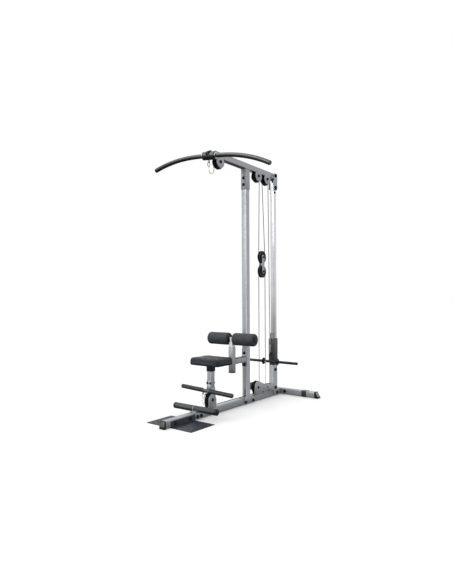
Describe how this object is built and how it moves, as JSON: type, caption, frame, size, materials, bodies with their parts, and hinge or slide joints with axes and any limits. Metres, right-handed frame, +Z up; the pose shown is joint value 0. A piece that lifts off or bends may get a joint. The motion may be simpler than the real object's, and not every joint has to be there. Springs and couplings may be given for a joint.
{
  "type": "lat pulldown machine",
  "caption": "Plate-loaded lat pulldown and low-row tower on a T base: sliding weight carriage, overhead curved bar, low row bar, height-adjustable seat and knee rollers.",
  "frame": {"origin": "bottom centre of the bounding box, on the floor", "axes": "+X to the right of a user seated facing the mast, +Y from the foot plate at the front to the weight carriage at the rear, +Z up"},
  "size_m": [1.0347, 1.5968, 2.0816],
  "materials": {
    "frame_paint": "silver-grey hammered powder coat, semi-gloss, faintly mottled",
    "black_paint": "black powder coat, satin",
    "chrome": "bright polished chrome plate",
    "zinc_steel": "zinc-plated steel, light brushed grain",
    "black_plastic": "moulded black plastic, fine matt grain",
    "grey_nylon": "cast grey nylon, waxy satin",
    "black_rubber": "black moulded rubber, low sheen",
    "roller_foam": "closed-cell foam with a matt charcoal skin",
    "seat_vinyl": "charcoal upholstery vinyl, fine leather grain",
    "cable_coat": "grey nylon-jacketed wire rope"
  },
  "bodies": {
    "frame": {"base_tube": "frame_paint", "rear_cross_tube": "frame_paint", "front_foot_cap": "black_plastic", "rear_foot_cap_right": "black_plastic", "rear_foot_cap_left": "black_plastic", "front_foot_plate": "black_paint", "front_mast": "frame_paint", "top_boom": "frame_paint", "boom_end_cap": "black_plastic", "bar_clip": "black_paint", "rear_post": "frame_paint", "guide_upright": "chrome", "upright_top_bracket": "frame_paint", "carriage_bumper": "black_rubber", "low_front_bracket": "frame_paint", "low_rear_bracket": "frame_paint", "anchor_chain": "zinc_steel", "lat_cable_drop": "cable_coat", "lat_cable_run": "cable_coat", "lat_cable_loop": "cable_coat", "carriage_cable": "cable_coat", "row_cable_run": "cable_coat", "row_cable_loop": "cable_coat", "row_bar_hook": "frame_paint", "seat_post": "frame_paint", "seat_post_collar": "black_plastic", "knee_arm": "frame_paint", "foot_brace": "black_rubber"},
    "carriage": {"carriage_sleeve": "black_paint", "carriage_liner": "grey_nylon", "weight_horn_right": "zinc_steel", "weight_horn_left": "zinc_steel", "carriage_snap_hook": "zinc_steel"},
    "lat_bar": {"lat_bar": "black_paint", "lat_bar_grip_right": "black_rubber", "lat_bar_grip_left": "black_rubber", "lat_bar_hanger": "black_rubber", "lat_bar_chain": "zinc_steel"},
    "row_bar": {"row_bar": "zinc_steel", "row_bar_grip_right": "black_rubber", "row_bar_grip_left": "black_rubber", "row_bar_chain": "zinc_steel"},
    "lat_pulley": {"lat_pulley": "black_plastic"},
    "top_pulley_front": {"top_pulley_front": "black_plastic"},
    "top_pulley_rear": {"top_pulley_rear": "black_plastic"},
    "low_pulley_front": {"low_pulley_front": "black_plastic"},
    "low_pulley_rear": {"low_pulley_rear": "black_plastic"},
    "pulley_block": {"pulley_block": "frame_paint"},
    "block_pulley_upper": {"block_pulley_upper": "black_plastic"},
    "block_pulley_lower": {"block_pulley_lower": "black_plastic"},
    "seat": {"seat_stem": "frame_paint", "seat_pad": "seat_vinyl"},
    "seat_pin": {"seat_pin": "black_plastic"},
    "knee_hold": {"knee_post": "chrome"},
    "knee_pin": {"knee_pin": "black_plastic"},
    "knee_roller_right": {"knee_roller_right": "roller_foam"},
    "knee_roller_left": {"knee_roller_left": "roller_foam"}
  },
  "joints": [
    {"name": "carriage_lift", "type": "slide", "parent": "frame", "child": "carriage", "axis": [0, 0, 1], "range_m": [0, 0.95], "deforming": ["carriage_cable"]},
    {"name": "lat_bar_pull", "type": "slide", "parent": "frame", "child": "lat_bar", "axis": [0, 0, -1], "range_m": [0, 0.95], "deforming": ["lat_cable_drop"]},
    {"name": "row_bar_pull", "type": "slide", "parent": "frame", "child": "row_bar", "axis": [0, -0.8192, 0.5736], "range_m": [0, 0.8], "stiffness_N_per_m": 60, "springref_m": -1},
    {"name": "block_drop", "type": "slide", "parent": "frame", "child": "pulley_block", "axis": [0, 0, -1], "range_m": [0, 0.4], "deforming": ["lat_cable_loop", "row_cable_loop"]},
    {"name": "lat_pulley_spin", "type": "hinge", "parent": "frame", "child": "lat_pulley", "pos_m": [0, -0.1649, 2.001], "axis": [1, 0, 0], "continuous": true},
    {"name": "top_pulley_front_spin", "type": "hinge", "parent": "frame", "child": "top_pulley_front", "pos_m": [0, 0.3861, 2.001], "axis": [1, 0, 0], "continuous": true},
    {"name": "top_pulley_rear_spin", "type": "hinge", "parent": "frame", "child": "top_pulley_rear", "pos_m": [0, 0.5311, 2.001], "axis": [1, 0, 0], "continuous": true},
    {"name": "block_pulley_upper_spin", "type": "hinge", "parent": "pulley_block", "child": "block_pulley_upper", "pos_m": [0, 0.4731, 1.281], "axis": [1, 0, 0], "continuous": true},
    {"name": "block_pulley_lower_spin", "type": "hinge", "parent": "pulley_block", "child": "block_pulley_lower", "pos_m": [0, 0.4731, 1.151], "axis": [1, 0, 0], "continuous": true},
    {"name": "low_pulley_front_spin", "type": "hinge", "parent": "frame", "child": "low_pulley_front", "pos_m": [0, -0.2719, 0.1185], "axis": [1, 0, 0], "continuous": true},
    {"name": "low_pulley_rear_spin", "type": "hinge", "parent": "frame", "child": "low_pulley_rear", "pos_m": [0, 0.3691, 0.1185], "axis": [1, 0, 0], "continuous": true},
    {"name": "seat_height", "type": "slide", "parent": "frame", "child": "seat", "axis": [0, 0, 1], "range_m": [0, 0.1]},
    {"name": "seat_pin_pull", "type": "slide", "parent": "frame", "child": "seat_pin", "axis": [0, 1, 0], "range_m": [0, 0.01], "stiffness_N_per_m": 600, "springref_m": -0.006},
    {"name": "knee_height", "type": "slide", "parent": "frame", "child": "knee_hold", "axis": [0, 0, 1], "range_m": [0, 0.1]},
    {"name": "knee_pin_pull", "type": "slide", "parent": "frame", "child": "knee_pin", "axis": [0, 1, 0], "range_m": [0, 0.01], "stiffness_N_per_m": 600, "springref_m": -0.006},
    {"name": "knee_roller_right_spin", "type": "hinge", "parent": "knee_hold", "child": "knee_roller_right", "pos_m": [0, 0.0161, 0.57], "axis": [1, 0, 0], "continuous": true},
    {"name": "knee_roller_left_spin", "type": "hinge", "parent": "knee_hold", "child": "knee_roller_left", "pos_m": [0, 0.0161, 0.57], "axis": [1, 0, 0], "continuous": true}
  ],
  "couplings": [
    {"joint": "lat_bar_pull", "follows": "carriage_lift", "ratio": 1},
    {"joint": "lat_pulley_spin", "follows": "carriage_lift", "rad_per_m": 19.608},
    {"joint": "top_pulley_front_spin", "follows": "carriage_lift", "rad_per_m": 19.608},
    {"joint": "top_pulley_rear_spin", "follows": "carriage_lift", "rad_per_m": 19.608},
    {"joint": "block_pulley_upper_spin", "follows": "carriage_lift", "rad_per_m": -19.608},
    {"joint": "block_drop", "follows": "row_bar_pull", "ratio": 0.5},
    {"joint": "low_pulley_front_spin", "follows": "row_bar_pull", "rad_per_m": -19.608},
    {"joint": "low_pulley_rear_spin", "follows": "row_bar_pull", "rad_per_m": -19.608},
    {"joint": "block_pulley_lower_spin", "follows": "row_bar_pull", "rad_per_m": 9.8039}
  ]
}
